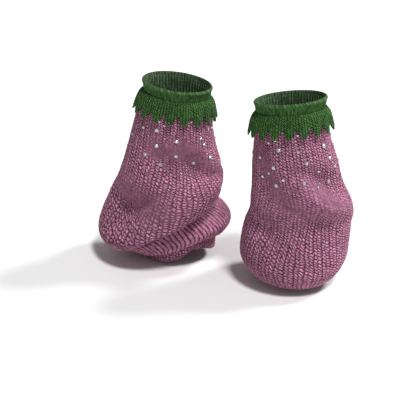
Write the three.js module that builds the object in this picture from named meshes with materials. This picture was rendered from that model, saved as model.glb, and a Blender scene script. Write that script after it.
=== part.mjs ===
// A pair of slouched knitted leg warmers, filled out and standing open as they are worn. Each one is a
// pink knitted tube that bags out towards the foot, a green ribbed band that grips the calf, and a
// green knitted frill of leaf points that hangs over the seam between the two.
//
// Lengths are in millimetres, +Z is up, +X is towards the wearer's left and -Y is the front, where the
// toes are. The origin is the centre of the right leg's top rim, where the band holds on to the calf.

import * as THREE from 'three';

// Driving dimensions
const LEG_SPACING = 161; // between the centres of the two top rims, along X
const KNIT_WALL = 2.5; // thickness of the pink knit
const BAND_WALL = 2.5; // thickness of the green ribbed band
const FRILL_WALL = 2.0; // thickness of the green frill
const SEAM_GAP = 0.3; // between two pieces that are sewn to each other
const BAND_DEPTH = 38; // from the rim down to the band's lower edge, inside the pink knit
const GRIP_RADIUS = 43.8; // outside of the band where the pink knit is sewn round it
const KNIT_TOP = 22; // from the rim down to the top edge of the pink knit, hidden by the frill
const AROUND = 40; // columns round a pink tube
const BAND_RIBS = 60; // raised ribs round a green band, each a ridge column and a groove column
const RIB_HEIGHT = 0.8; // from the bottom of a groove to the top of a ridge
const LEAF_POINTS = 18; // points round one frill
const COLUMNS_PER_POINT = 4;
const POINT_CUT = 12; // how far the notch between two points reaches up from their tips
const POINT_ROUNDING = 1.8; // 1 is a straight-sided point, more is a rounder tip
const FOLD_RADIUS = 65; // turns an angle round the tube into a length along the cloth
const ROW_LENGTH = 26; // length of cloth that one step between two rings stands for, in a fold

// Rings. A ring is an ellipse at "drop" below the rim: its centre is shifted by "out" along X and by
// "back" along Y, "wide" and "deep" are its half widths, and riseX and riseY tilt it, as the height
// gained per millimetre along X and Y. "steps" is how many rows of faces lead to the next ring.
const RING_COLUMNS = ['name', 'drop', 'out', 'back', 'wide', 'deep', 'riseX', 'riseY', 'steps'];

// Folds. A fold is a smooth bump centred "at" degrees round the tube and at ring number "row". It is
// "length" by "breadth" long and wide, turned by "turn" degrees in the cloth. "depth" pushes the
// cloth out, or in where it is negative, and "lift" raises it.
const FOLD_COLUMNS = ['name', 'at', 'row', 'turn', 'length', 'breadth', 'depth', 'lift'];

// The flats between the tube's columns clear the band's ridges by the seam gap.
const RIDGE_RADIUS = GRIP_RADIUS + RIB_HEIGHT / 2;
const KNIT_TOP_RADIUS = (RIDGE_RADIUS + SEAM_GAP) / Math.cos(Math.PI / AROUND) + KNIT_WALL;

const RIGHT_LEG = {
  knit: table(RING_COLUMNS, [
    ['seam', KNIT_TOP, -1, 0, KNIT_TOP_RADIUS, KNIT_TOP_RADIUS, -0.125, -0.046, 2],
    ['collar', 46, -5, 0, 51, 49, -0.1, -0.04, 3],
    ['chest', 82, -8, -2, 60, 56, -0.04, 0, 3],
    ['waist', 115, -8.5, -7, 71.5, 59, 0.055, 0.083, 3],
    ['belly', 142, -17, -11, 83, 65, 0.19, 0.22, 3],
    ['bulge', 172, -22, -17, 87, 70, 0.24, 0.36, 2],
    ['edge', 184, -22, -16, 79, 67, 0.35, 0.42, 3],
    ['crease', 195, -21, -10, 68, 58, 0.4, 0.42, 3],
    ['shelf', 200, -12, -2, 69, 60, 0.36, 0.38, 3],
    ['roll', 211, -2, 4, 73, 63, 0.26, 0.27, 3],
    ['turn', 221, -2, 4, 64, 58, 0.18, 0.2, 2],
    ['lip', 226, -3, 4, 53, 50, 0.12, 0.12, 2],
    ['hem', 240, -2, 4, 50, 47.5, 0.1, 0.06, 0],
  ]),
  folds: table(FOLD_COLUMNS, [
    ['hip hollow', 230, 4, 15, 38, 13, -10, 0],
    ['left dent', 257, 4.1, -4, 44, 15, -16, 0],
    ['waist hollow', 298, 2.65, 16, 46, 16, -16, 0],
    ['outer waist hollow', 334, 2.75, 35, 36, 13, -13, 0],
    ['belly ridge', 330, 4.2, -5, 50, 11, 8, 0],
    ['long belly ridge', 271, 2.95, 22, 36, 9, 4, 0],
    ['low belly ridge', 258, 4.95, 2, 38, 12, 4, 0],
    ['roll crease', 318, 7.45, 0, 55, 9, -5, 0],
    ['deep crease', 336, 7.6, -8, 30, 11, -7, 0],
    ['rear hollow', 95, 2.6, 20, 55, 18, -7, 0],
    ['inner shelf', 160, 3.2, -30, 50, 18, -6, 0],
    ['crease lift', 325, 6.5, 0, 50, 40, 0, 4],
    ['instep lift', 302, 9, 0, 55, 60, 0, 9],
    ['heel lift', 332, 11.5, 0, 34, 45, 0, 11],
    ['hem notch', 316, 12.2, 0, 12, 20, 0, 4],
  ]),
  band: table(RING_COLUMNS, [
    ['rim', 0, 0, 0, 46.2, 46.2, -0.125, -0.046, 1],
    ['neck', 10, -0.5, 0, 44, 44, -0.125, -0.046, 1],
    ['grip', KNIT_TOP, -1, 0, GRIP_RADIUS, GRIP_RADIUS, -0.125, -0.046, 1],
    ['foot', BAND_DEPTH, -1.5, 0, 43, 43, -0.125, -0.046, 0],
  ]),
  frill: table(RING_COLUMNS, [
    ['root', 12, -0.7, 0, 46.9, 46.9, -0.125, -0.046, 2],
    ['flare', 24, -2.1, 0, 52.2, 51.6, -0.125, -0.046, 2],
    ['tips', 41, -4, 0, 56, 55.5, -0.125, -0.046, 0],
  ]),
};

const LEFT_LEG = {
  knit: table(RING_COLUMNS, [
    ['seam', KNIT_TOP, 1, 0, KNIT_TOP_RADIUS, KNIT_TOP_RADIUS, 0.125, -0.046, 2],
    ['collar', 46, 3, 0, 47.5, 47.2, 0.08, -0.04, 3],
    ['chest', 80, 9.5, 0, 55.5, 54, 0.02, -0.02, 3],
    ['waist', 116, 18.5, 0, 65.5, 60, 0, 0, 3],
    ['belly', 148, 18, 0, 71, 66, 0, 0, 3],
    ['low', 180, 12.5, 0, 71, 67, 0, 0.04, 3],
    ['bulge', 210, 10, 0, 70, 66, 0, 0.1, 4],
    ['under', 232, 11, 0, 54, 52, -0.04, 0.12, 3],
    ['hem', 224, 13, 0, 45, 43, -0.02, 0.12, 0],
  ]),
  folds: table(FOLD_COLUMNS, [
    ['upper left flat', 244, 2.65, 75, 34, 16, -5, 0],
    ['shelf hollow', 336, 2.6, 8, 38, 16, -15, 0],
    ['long ridge', 297, 2.6, 34, 45, 10, 3, 0],
    ['right shelf', 322, 3.4, 22, 38, 12, 8, 0],
    ['cross hollow', 306, 4.2, -4, 58, 18, -16, 0],
    ['left hollow', 253, 4.6, 20, 40, 13, -9, 0],
    ['left edge hollow', 267, 3.25, 70, 41, 14, -3, 0],
    ['low belly ridge', 292, 5.8, 12, 55, 17, 6, 0],
    ['rear hollow', 90, 3.4, 15, 60, 18, -7, 0],
    ['rear shelf', 40, 2.6, -25, 45, 16, -5, 0],
    ['inner hollow', 170, 3, 35, 45, 16, -6, 0],
  ]),
  band: table(RING_COLUMNS, [
    ['rim', 0, 0, 0, 46.2, 46.2, 0.125, -0.046, 1],
    ['neck', 10, 0.5, 0, 44, 44, 0.125, -0.046, 1],
    ['grip', KNIT_TOP, 1, 0, GRIP_RADIUS, GRIP_RADIUS, 0.125, -0.046, 1],
    ['foot', BAND_DEPTH, 2, 0, 43, 43, 0.125, -0.046, 0],
  ]),
  frill: table(RING_COLUMNS, [
    ['root', 12, 0.6, 0, 46.9, 46.9, 0.125, -0.046, 2],
    ['flare', 24, 1, 0, 51.7, 51.2, 0.125, -0.046, 2],
    ['tips', 41, 2, 0, 55, 54.5, 0.125, -0.046, 0],
  ]),
};

const FINISHES = {
  knit: { color: 0xb8708c, roughness: 0.92, metalness: 0 },
  band: { color: 0x2f5a2c, roughness: 0.92, metalness: 0 },
  frill: { color: 0x2b5428, roughness: 0.92, metalness: 0 },
};

// Gives each row of a table its column names.
function table(columns, rows) {
  return rows.map((row) => Object.fromEntries(columns.map((column, k) => [column, row[k]])));
}

// The value of one column at a fractional row number, on a Catmull-Rom curve through the rings. The
// rings before the first and after the last are the straight continuation of the end pair.
function along(rings, column, row) {
  const last = rings.length - 1;
  const k = Math.min(Math.floor(row), last - 1);
  const t = row - k;
  const at = (n) => {
    if (n < 0) return 2 * rings[0][column] - rings[1][column];
    if (n > last) return 2 * rings[last][column] - rings[last - 1][column];
    return rings[n][column];
  };
  const [p0, p1, p2, p3] = [at(k - 1), at(k), at(k + 1), at(k + 2)];
  const slope = (p2 - p0) * t;
  const bend = (2 * p0 - 5 * p1 + 4 * p2 - p3) * t * t;
  const twist = (3 * p1 - p0 - 3 * p2 + p3) * t * t * t;
  return 0.5 * (2 * p1 + slope + bend + twist);
}

// The fractional row numbers of all the rows of faces that the rings ask for.
function rowNumbers(rings) {
  const rows = [0];
  for (let k = 0; k < rings.length - 1; k += 1) {
    for (let n = 1; n <= rings[k].steps; n += 1) rows.push(k + n / rings[k].steps);
  }
  return rows;
}

// How far all the folds together push and lift the cloth at an angle and a row.
function foldedBy(folds, angle, row) {
  let push = 0;
  let lift = 0;
  for (const fold of folds) {
    const offset = THREE.MathUtils.euclideanModulo(angle - THREE.MathUtils.degToRad(fold.at) + Math.PI,
      2 * Math.PI) - Math.PI;
    const turn = THREE.MathUtils.degToRad(fold.turn);
    const acrossCloth = offset * FOLD_RADIUS;
    const downCloth = (row - fold.row) * ROW_LENGTH;
    const p = acrossCloth * Math.cos(turn) + downCloth * Math.sin(turn);
    const q = downCloth * Math.cos(turn) - acrossCloth * Math.sin(turn);
    const weight = Math.exp(-((p / fold.length) ** 2) - (q / fold.breadth) ** 2);
    push += fold.depth * weight;
    lift += fold.lift * weight;
  }
  return { push, lift };
}

// The point of a ringed surface at an angle and a row.
function surfacePoint(rings, folds, angle, row) {
  const { push, lift } = foldedBy(folds, angle, row);
  const x = along(rings, 'wide', row) * Math.cos(angle);
  const y = along(rings, 'deep', row) * Math.sin(angle);
  const tilt = along(rings, 'riseX', row) * x + along(rings, 'riseY', row) * y;
  return new THREE.Vector3(
    along(rings, 'out', row) + x + push * Math.cos(angle),
    along(rings, 'back', row) + y + push * Math.sin(angle),
    -along(rings, 'drop', row) + tilt + lift,
  );
}

// A grid of points, rows down and columns round, of a tube.
function tubeGrid(rings, folds, columns) {
  return rowNumbers(rings).map((row) => Array.from({ length: columns }, (_, j) => (
    surfacePoint(rings, folds, (2 * Math.PI * j) / columns, row))));
}

// The same for a ribbed band, whose columns are ridges and grooves in turn.
function ribbedGrid(rings) {
  const columns = 2 * BAND_RIBS;
  return rowNumbers(rings).map((row) => Array.from({ length: columns }, (_, j) => {
    const angle = (2 * Math.PI * j) / columns;
    const rib = (j % 2 === 0 ? 1 : -1) * (RIB_HEIGHT / 2);
    const outward = new THREE.Vector3(Math.cos(angle), Math.sin(angle), 0);
    return surfacePoint(rings, [], angle, row).addScaledVector(outward, rib);
  }));
}

// The same for a frill: each column ends where the outline of its leaf point is.
function frillGrid(rings) {
  const columns = LEAF_POINTS * COLUMNS_PER_POINT;
  const last = rings.length - 1;
  const length = rings[last].drop - rings[0].drop;
  return rowNumbers(rings).map((row) => Array.from({ length: columns }, (_, j) => {
    const fromTip = Math.abs(2 * ((j / COLUMNS_PER_POINT) % 1) - 1);
    const kept = 1 - (POINT_CUT * fromTip ** POINT_ROUNDING) / length;
    return surfacePoint(rings, [], (2 * Math.PI * j) / columns, row * kept);
  }));
}

// A second grid at an even thickness inside the first, along the surface's own normals.
function insideOf(grid, wall) {
  const lastRow = grid.length - 1;
  const columns = grid[0].length;
  return grid.map((points, i) => points.map((point, j) => {
    const up = grid[Math.max(i - 1, 0)][j];
    const down = grid[Math.min(i + 1, lastRow)][j];
    const before = points[(j + columns - 1) % columns];
    const after = points[(j + 1) % columns];
    const round = new THREE.Vector3().subVectors(after, before);
    const rising = new THREE.Vector3().subVectors(up, down);
    const normal = round.cross(rising).normalize();
    return point.clone().addScaledVector(normal, -wall);
  }));
}

// The closed wall between an outer and an inner grid, open at its top and bottom.
function wallGeometry(outer, inner) {
  const rows = outer.length;
  const columns = outer[0].length;
  const positions = [...outer.flat(), ...inner.flat()].flatMap((point) => point.toArray());
  const out = (i, j) => i * columns + (j % columns);
  const ins = (i, j) => rows * columns + out(i, j);
  const faces = [];
  const quad = (a, b, c, d) => faces.push(a, b, c, a, c, d);
  for (let j = 0; j < columns; j += 1) {
    for (let i = 0; i < rows - 1; i += 1) {
      quad(out(i, j), out(i + 1, j), out(i + 1, j + 1), out(i, j + 1));
      quad(ins(i, j), ins(i, j + 1), ins(i + 1, j + 1), ins(i + 1, j));
    }
    quad(out(0, j), out(0, j + 1), ins(0, j + 1), ins(0, j));
    quad(out(rows - 1, j), ins(rows - 1, j), ins(rows - 1, j + 1), out(rows - 1, j + 1));
  }
  const geometry = new THREE.BufferGeometry();
  geometry.setAttribute('position', new THREE.Float32BufferAttribute(positions, 3));
  geometry.setIndex(faces);
  geometry.computeVertexNormals();
  return geometry;
}

// One named piece of cloth: its outer grid, with the wall inside it.
function clothPiece(name, grid, wall, finish) {
  const mesh = new THREE.Mesh(wallGeometry(grid, insideOf(grid, wall)),
    new THREE.MeshStandardMaterial(finish));
  mesh.name = name;
  return mesh;
}

// One leg warmer, hanging from the centre of its top rim.
function legWarmer(side, leg) {
  const group = new THREE.Group();
  group.add(
    clothPiece(`${side}_top_band`, ribbedGrid(leg.band), BAND_WALL, FINISHES.band),
    clothPiece(`${side}_leaf_frill`, frillGrid(leg.frill), FRILL_WALL, FINISHES.frill),
    clothPiece(`${side}_knit_tube`, tubeGrid(leg.knit, leg.folds, AROUND), KNIT_WALL, FINISHES.knit),
  );
  return group;
}

const pair = new THREE.Group();
pair.name = 'leg_warmers';
const rightLeg = legWarmer('right', RIGHT_LEG);
const leftLeg = legWarmer('left', LEFT_LEG);
leftLeg.position.set(LEG_SPACING, 0, 0);
pair.add(rightLeg, leftLeg);

export default pair;
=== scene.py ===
"""A pair of slouched knitted leg warmers, filled out and standing open as they are worn.

Each one is a pink stocking-stitch tube that bags out towards the foot, with a green ribbed band at
the top, a green knitted frill of leaf points over the seam between them, and small crystals sewn to
the pink cloth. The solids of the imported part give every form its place; this script gives the cloth
its stitches, ribs, creases, yarn and crystals, and sets a plain studio round the pair.

Sizes are in millimetres until a mesh is made, in the part's own frame: the origin is the centre of
the right leg's top rim, +X is towards the wearer's left, +Y towards the heels and +Z up.
"""
import logging
import math
from dataclasses import dataclass
from enum import Enum

import bpy
import numpy as np
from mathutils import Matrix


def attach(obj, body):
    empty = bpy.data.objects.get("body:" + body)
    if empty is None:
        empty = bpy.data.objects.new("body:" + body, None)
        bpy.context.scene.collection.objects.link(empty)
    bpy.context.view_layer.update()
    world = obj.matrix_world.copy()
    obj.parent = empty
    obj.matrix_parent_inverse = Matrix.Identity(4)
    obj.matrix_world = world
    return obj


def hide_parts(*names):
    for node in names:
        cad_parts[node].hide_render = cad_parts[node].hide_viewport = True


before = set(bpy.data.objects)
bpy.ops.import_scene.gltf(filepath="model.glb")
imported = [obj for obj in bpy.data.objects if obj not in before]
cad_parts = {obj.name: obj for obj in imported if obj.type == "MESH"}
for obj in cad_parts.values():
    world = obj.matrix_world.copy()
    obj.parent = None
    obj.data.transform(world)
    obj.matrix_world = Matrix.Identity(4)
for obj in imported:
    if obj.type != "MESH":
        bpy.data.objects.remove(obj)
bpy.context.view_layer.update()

LOG = logging.getLogger("leg_warmers")

MM = 0.001
LEG_SPACING = 161.0
KNIT_WALL = 2.5
BAND_WALL = 2.5
FRILL_WALL = 2.0
SEAM_GAP = 0.3
BAND_DEPTH = 38.0
GRIP_RADIUS = 43.8
KNIT_TOP = 22.0
TUBE_COLUMNS = 40
BAND_RIBS = 60
RIB_HEIGHT = 0.8
LEAF_POINTS = 18
POINT_CUT = 12.0
POINT_ROUNDING = 1.8
FOLD_RADIUS = 65.0
ROW_LENGTH = 26.0
RIDGE_RADIUS = GRIP_RADIUS + RIB_HEIGHT / 2
KNIT_TOP_RADIUS = (RIDGE_RADIUS + SEAM_GAP) / math.cos(math.pi / TUBE_COLUMNS) + KNIT_WALL

CLOTH_MAP = "cloth"
BAKE_MAP = "OFBake"
COURSE_SPAN = 100.0
RIB_MASK = "rib"
CALM_MASK = "calm"
INSIDE_MASK = "inside"
FLOOR_DROP = 0.2465

Array = np.ndarray


class Side(Enum):
    """Which leg a leg warmer is worn on, with its place along X."""

    RIGHT = ("right", 0.0)
    LEFT = ("left", LEG_SPACING)

    @property
    def label(self) -> str:
        """The word that starts the names of this side's pieces."""
        return self.value[0]

    @property
    def shift(self) -> Array:
        """The place of this side's top rim, in millimetres."""
        return np.array([self.value[1], 0.0, 0.0])


@dataclass(frozen=True)
class Ring:
    """One elliptical section of a tube: how far it drops, is shifted, spreads and tilts."""

    name: str
    drop: float
    out: float
    back: float
    wide: float
    deep: float
    rise_x: float
    rise_y: float

    def numbers(self) -> tuple[float, ...]:
        """The section's seven numbers in the order that the surface formula takes them."""
        return (self.drop, self.out, self.back, self.wide, self.deep, self.rise_x, self.rise_y)


@dataclass(frozen=True)
class Fold:
    """A smooth trough or ridge in the cloth, long and narrow, turned by an angle in the cloth."""

    name: str
    at: float
    row: float
    turn: float
    length: float
    breadth: float
    depth: float
    lift: float = 0.0


@dataclass(frozen=True)
class Crystal:
    """One sewn crystal: its angle round the leg, the cloth's length down to it, and its size."""

    at: float
    down: float
    size: float = 1.0


def rings(*rows: tuple) -> tuple[Ring, ...]:
    """Makes a table of sections.

    Args:
        rows: name, drop, out, back, wide, deep, rise_x and rise_y of each section.

    Returns:
        The sections from the top edge down.
    """
    return tuple(Ring(*row) for row in rows)


def folds(*rows: tuple) -> tuple[Fold, ...]:
    """Makes a table of folds.

    Args:
        rows: name, at, row, turn, length, breadth, depth and perhaps lift of each fold.

    Returns:
        The folds.
    """
    return tuple(Fold(*row) for row in rows)


def crystals(*rows: tuple[float, ...]) -> tuple[Crystal, ...]:
    """Makes a table of crystals from degrees round the leg, millimetres down and perhaps a size."""
    return tuple(Crystal(*row) for row in rows)


def leaning(out_side: float) -> float:
    """How much a top band rises towards the outside of its leg, per millimetre along X."""
    return 0.125 * out_side


@dataclass(frozen=True)
class LegShape:
    """All the tables that one leg warmer is worked out from."""

    side: Side
    knit: tuple[Ring, ...]
    big_folds: tuple[Fold, ...]
    creases: tuple[Fold, ...]
    calm: tuple[Fold, ...]
    band: tuple[Ring, ...]
    frill: tuple[Ring, ...]
    ribbed_rows: tuple[float, float, float, float]
    crystals: tuple[Crystal, ...]
    hidden_side: tuple[float, float]


RIGHT_SHAPE = LegShape(
    side=Side.RIGHT,
    knit=rings(
        ("seam", KNIT_TOP, -1, 0, KNIT_TOP_RADIUS, KNIT_TOP_RADIUS, -0.125, -0.046),
        ("collar", 46, -5, 0, 51, 49, -0.1, -0.04),
        ("chest", 82, -8, -2, 60, 56, -0.04, 0),
        ("waist", 115, -8.5, -7, 71.5, 59, 0.055, 0.083),
        ("belly", 142, -17, -11, 83, 65, 0.19, 0.22),
        ("bulge", 172, -22, -17, 87, 70, 0.24, 0.36),
        ("edge", 184, -22, -16, 79, 67, 0.35, 0.42),
        ("crease", 195, -21, -10, 68, 58, 0.4, 0.42),
        ("shelf", 200, -12, -2, 69, 60, 0.36, 0.38),
        ("roll", 211, -2, 4, 73, 63, 0.26, 0.27),
        ("turn", 221, -2, 4, 64, 58, 0.18, 0.2),
        ("lip", 226, -3, 4, 53, 50, 0.12, 0.12),
        ("hem", 240, -2, 4, 50, 47.5, 0.1, 0.06),
    ),
    big_folds=folds(
        ("hip hollow", 230, 4, 15, 38, 13, -10),
        ("left dent", 257, 4.1, -4, 44, 15, -16),
        ("waist hollow", 298, 2.65, 16, 46, 16, -16),
        ("outer waist hollow", 334, 2.75, 35, 36, 13, -13),
        ("belly ridge", 330, 4.2, -5, 50, 11, 8),
        ("long belly ridge", 271, 2.95, 22, 36, 9, 4),
        ("low belly ridge", 258, 4.95, 2, 38, 12, 4),
        ("roll crease", 318, 7.45, 0, 55, 9, -5),
        ("deep crease", 336, 7.6, -8, 30, 11, -7),
        ("rear hollow", 95, 2.6, 20, 55, 18, -7),
        ("inner shelf", 160, 3.2, -30, 50, 18, -6),
        ("crease lift", 325, 6.5, 0, 50, 40, 0, 4),
        ("instep lift", 302, 9, 0, 55, 60, 0, 9),
        ("heel lift", 332, 11.5, 0, 34, 45, 0, 11),
        ("hem notch", 316, 12.2, 0, 12, 20, 0, 4),
    ),
    creases=folds(
        ("drag line", 300, 3.5, 20, 36, 6, -1.2),
        ("small dent", 246, 2.6, 40, 25, 8, -1.4),
        ("low wrinkle", 262, 5.3, 4, 44, 7, 1.3),
        ("rear crease", 60, 3.6, -20, 40, 8, -2),
        ("low rear crease", 120, 4.3, 15, 45, 8, -2),
        ("inner wrinkle", 190, 4.2, 30, 35, 8, -1.8),
        ("heel wrinkle", 20, 3.2, -12, 34, 7, -1.5),
        ("dark crease", 326, 7.2, -4, 62, 6, -8.5),
        ("overhang", 335, 6.2, -6, 46, 8, 4),
        ("crease end", 348, 7.3, 4, 26, 9, -6),
        ("crease rise", 304, 7.4, 0, 46, 36, 0, 11),
        ("tier rise", 318, 11.2, 0, 30, 26, 0, 5),
    ),
    calm=folds(
        ("left dent", 260, 3.75, 18, 62, 18, 1),
        ("upper patch", 266, 1.3, 60, 20, 10, 0.7),
        ("waist hollow", 290, 1.95, -2, 46, 10, 1),
        ("outer waist hollow", 334, 2.3, 28, 42, 12, 1),
        ("rear hollow", 95, 2.6, 20, 45, 15, 0.7),
        ("inner shelf", 160, 3.2, -30, 40, 15, 0.6),
    ),
    band=rings(
        ("rim", 0, 0, 0, 46.2, 46.2, -0.125, -0.046),
        ("neck", 10, -0.5, 0, 44, 44, -0.125, -0.046),
        ("grip", KNIT_TOP, -1, 0, GRIP_RADIUS, GRIP_RADIUS, -0.125, -0.046),
        ("foot", BAND_DEPTH, -1.5, 0, 43, 43, -0.125, -0.046),
    ),
    frill=rings(
        ("root", 12, -0.7, 0, 46.9, 46.9, -0.125, -0.046),
        ("flare", 24, -2.1, 0, 52.2, 51.6, -0.125, -0.046),
        ("tips", 41, -4, 0, 56, 55.5, -0.125, -0.046),
    ),
    ribbed_rows=(6.7, 7.3, 10.3, 11.0),
    crystals=crystals(
        (274, 42, 0.7), (282, 46, 0.7), (248, 56, 0.75), (272, 54), (225, 71, 0.7), (302, 65),
        (274, 74, 1.2), (338, 63, 0.8), (343, 72, 0.8), (355, 52, 0.7), (8, 54, 0.7), (352, 42, 0.7),
        (322, 38, 0.7), (257, 88), (302, 86), (352, 93), (278, 99, 1.1), (331, 99, 1.1),
    ),
    hidden_side=(26.0, 206.0),
)

LEFT_SHAPE = LegShape(
    side=Side.LEFT,
    knit=rings(
        ("seam", KNIT_TOP, 1, 0, KNIT_TOP_RADIUS, KNIT_TOP_RADIUS, 0.125, -0.046),
        ("collar", 46, 3, 0, 47.5, 47.2, 0.08, -0.04),
        ("chest", 80, 9.5, 0, 55.5, 54, 0.02, -0.02),
        ("waist", 116, 18.5, 0, 65.5, 60, 0, 0),
        ("belly", 148, 18, 0, 71, 66, 0, 0),
        ("low", 180, 12.5, 0, 71, 67, 0, 0.04),
        ("bulge", 210, 10, 0, 70, 66, 0, 0.1),
        ("under", 232, 11, 0, 54, 52, -0.04, 0.12),
        ("hem", 224, 13, 0, 45, 43, -0.02, 0.12),
    ),
    big_folds=folds(
        ("upper left flat", 244, 2.65, 75, 34, 16, -5),
        ("shelf hollow", 336, 2.6, 8, 38, 16, -15),
        ("long ridge", 297, 2.6, 34, 45, 10, 3),
        ("right shelf", 322, 3.4, 22, 38, 12, 8),
        ("cross hollow", 306, 4.2, -4, 58, 18, -16),
        ("left hollow", 253, 4.6, 20, 40, 13, -9),
        ("left edge hollow", 267, 3.25, 70, 41, 14, -3),
        ("low belly ridge", 292, 5.8, 12, 55, 17, 6),
        ("rear hollow", 90, 3.4, 15, 60, 18, -7),
        ("rear shelf", 40, 2.6, -25, 45, 16, -5),
        ("inner hollow", 170, 3, 35, 45, 16, -6),
    ),
    creases=folds(
        ("smooth patch", 236, 2.2, 0, 20, 14, -1.2),
        ("knee wrinkle", 270, 3.2, 24, 34, 7, -1.3),
        ("shelf lip", 332, 3.2, 20, 38, 9, 3),
        ("shelf end", 356, 3.6, 22, 22, 12, 3),
        ("above the shelf", 330, 2.45, 10, 30, 10, -4),
        ("cross line", 300, 3.48, 11, 48, 11, -8),
        ("low wrinkle", 285, 5.3, 5, 45, 7, 1.2),
        ("rear crease", 60, 3.0, 20, 40, 8, -2),
        ("low rear crease", 110, 4.6, -15, 45, 8, -2),
        ("outer wrinkle", 20, 4.4, 15, 35, 8, -1.8),
        ("inner wrinkle", 195, 4.1, -20, 35, 7, -1.5),
    ),
    calm=folds(
        ("smooth side", 250, 2.2, 40, 44, 16, 1),
        ("shelf", 326, 2.9, 20, 42, 13, 1),
        ("cross hollow", 298, 3.5, 8, 56, 11, 0.6),
        ("left hollow", 250, 3.8, 30, 30, 14, 0.4),
        ("rear hollow", 90, 3.4, 15, 48, 15, 0.7),
        ("inner hollow", 170, 3, 35, 38, 14, 0.6),
    ),
    band=rings(
        ("rim", 0, 0, 0, 46.2, 46.2, 0.125, -0.046),
        ("neck", 10, 0.5, 0, 44, 44, 0.125, -0.046),
        ("grip", KNIT_TOP, 1, 0, GRIP_RADIUS, GRIP_RADIUS, 0.125, -0.046),
        ("foot", BAND_DEPTH, 2, 0, 43, 43, 0.125, -0.046),
    ),
    frill=rings(
        ("root", 12, 0.6, 0, 46.9, 46.9, 0.125, -0.046),
        ("flare", 24, 1, 0, 51.7, 51.2, 0.125, -0.046),
        ("tips", 41, 2, 0, 55, 54.5, 0.125, -0.046),
    ),
    ribbed_rows=(6.35, 6.8, 8.6, 9.0),
    crystals=crystals(
        (302, 37, 0.7), (256, 47, 0.7), (267, 43, 0.7), (272, 55, 1.1), (300, 57, 0.8), (344, 55, 1.1),
        (234, 70, 0.8), (350, 70), (309, 71), (263, 77, 1.1), (251, 87, 0.8), (328, 84, 0.7),
        (359, 82, 0.7), (236, 95, 0.8), (275, 90, 0.8), (299, 94), (346, 101), (262, 100), (318, 103, 0.8),
        (214, 91, 0.7),
    ),
    hidden_side=(16.0, 200.0),
)


@dataclass(frozen=True)
class RingedSurface:
    """A tube's surface through its sections, pushed and lifted by its folds."""

    sections: tuple[Ring, ...]
    folded: tuple[Fold, ...] = ()

    @property
    def last_row(self) -> int:
        """The number of the lowest section."""
        return len(self.sections) - 1

    def section_numbers(self, row: Array) -> Array:
        """Works out the section at fractional row numbers.

        Catmull-Rom in words: half of twice the second ring, plus the slope between its neighbours
        times t, plus the bend times t squared, plus the twist times t cubed. Past the ends the rings
        go on in a straight line.

        Args:
            row: any array of fractional row numbers.

        Returns:
            The seven numbers of a section along the last axis.
        """
        table = np.array([ring.numbers() for ring in self.sections])
        table = np.vstack([2 * table[0] - table[1], table, 2 * table[-1] - table[-2]])
        k = np.clip(np.floor(row).astype(int), 0, self.last_row - 1)
        t = (row - k)[..., None]
        p0, p1, p2, p3 = (table[k + n] for n in range(4))
        slope = (p2 - p0) * t
        bend = (2 * p0 - 5 * p1 + 4 * p2 - p3) * t**2
        twist = (3 * p1 - p0 - 3 * p2 + p3) * t**3
        return 0.5 * (2 * p1 + slope + bend + twist)

    def push_and_lift(self, angle: Array, row: Array) -> tuple[Array, Array]:
        """Adds up the folds.

        Each fold weighs exp(-(p / length) squared - (q / breadth) squared), where p and q are the
        distances along and across it in the cloth, and adds that share of its depth and lift.

        Args:
            angle: radians round the tube.
            row: fractional row numbers, of the same shape.

        Returns:
            Millimetres outwards, and millimetres upwards.
        """
        push = np.zeros(np.broadcast(angle, row).shape)
        lift = np.zeros_like(push)
        for fold in self.folded:
            offset = (angle - math.radians(fold.at) + math.pi) % (2 * math.pi) - math.pi
            turn = math.radians(fold.turn)
            across_cloth = offset * FOLD_RADIUS
            down_cloth = (row - fold.row) * ROW_LENGTH
            p = across_cloth * math.cos(turn) + down_cloth * math.sin(turn)
            q = down_cloth * math.cos(turn) - across_cloth * math.sin(turn)
            weight = np.exp(-((p / fold.length) ** 2) - (q / fold.breadth) ** 2)
            push += fold.depth * weight
            lift += fold.lift * weight
        return push, lift

    def points(self, angle: Array, row: Array) -> Array:
        """The surface at angles and rows.

        A point is the section's centre, plus its half widths times the cosine and sine of the
        angle, plus the folds' push along the same direction; its height is minus the drop, plus
        the tilt, plus the folds' lift.

        Args:
            angle: radians round the tube.
            row: fractional row numbers, of the same shape.

        Returns:
            Points in millimetres along the last axis.
        """
        numbers = np.moveaxis(self.section_numbers(row), -1, 0)
        drop, out, back, wide, deep, rise_x, rise_y = numbers
        push, lift = self.push_and_lift(angle, row)
        x = wide * np.cos(angle)
        y = deep * np.sin(angle)
        height = -drop + rise_x * x + rise_y * y + lift
        return np.stack([out + x + push * np.cos(angle), back + y + push * np.sin(angle), height], axis=-1)


class ClothRuler:
    """Measures a surface along its length, so that courses of stitches are evenly spaced."""

    def __init__(self, surface: RingedSurface, columns: int = 48, steps: int = 40) -> None:
        """Lays a fine grid over the surface and keeps the mean length down to each row.

        Args:
            surface: the cloth to measure.
            columns: how many lines down the cloth are averaged.
            steps: how many steps each ring interval is measured in.
        """
        self.rows = np.linspace(0, surface.last_row, surface.last_row * steps + 1)
        angle, row = np.meshgrid(np.linspace(0, 2 * math.pi, columns, endpoint=False), self.rows)
        grid = surface.points(angle, row)
        steps_down = np.linalg.norm(np.diff(grid, axis=0), axis=2).mean(axis=1)
        girths = np.linalg.norm(grid - np.roll(grid, 1, axis=1), axis=2).sum(axis=1)
        self.down = np.concatenate([[0.0], np.cumsum(steps_down)])
        self.length = float(self.down[-1])
        self.girth = float(np.average(girths[1:], weights=steps_down))

    def row_at(self, down: Array) -> Array:
        """The row number at a length of cloth below the top edge, in millimetres."""
        return np.interp(down, self.down, self.rows)

    def cut(self) -> tuple[float, float]:
        """The flat cut in metres, all round by its length."""
        return round(self.girth * MM, 3), round(self.length * MM, 3)


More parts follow.
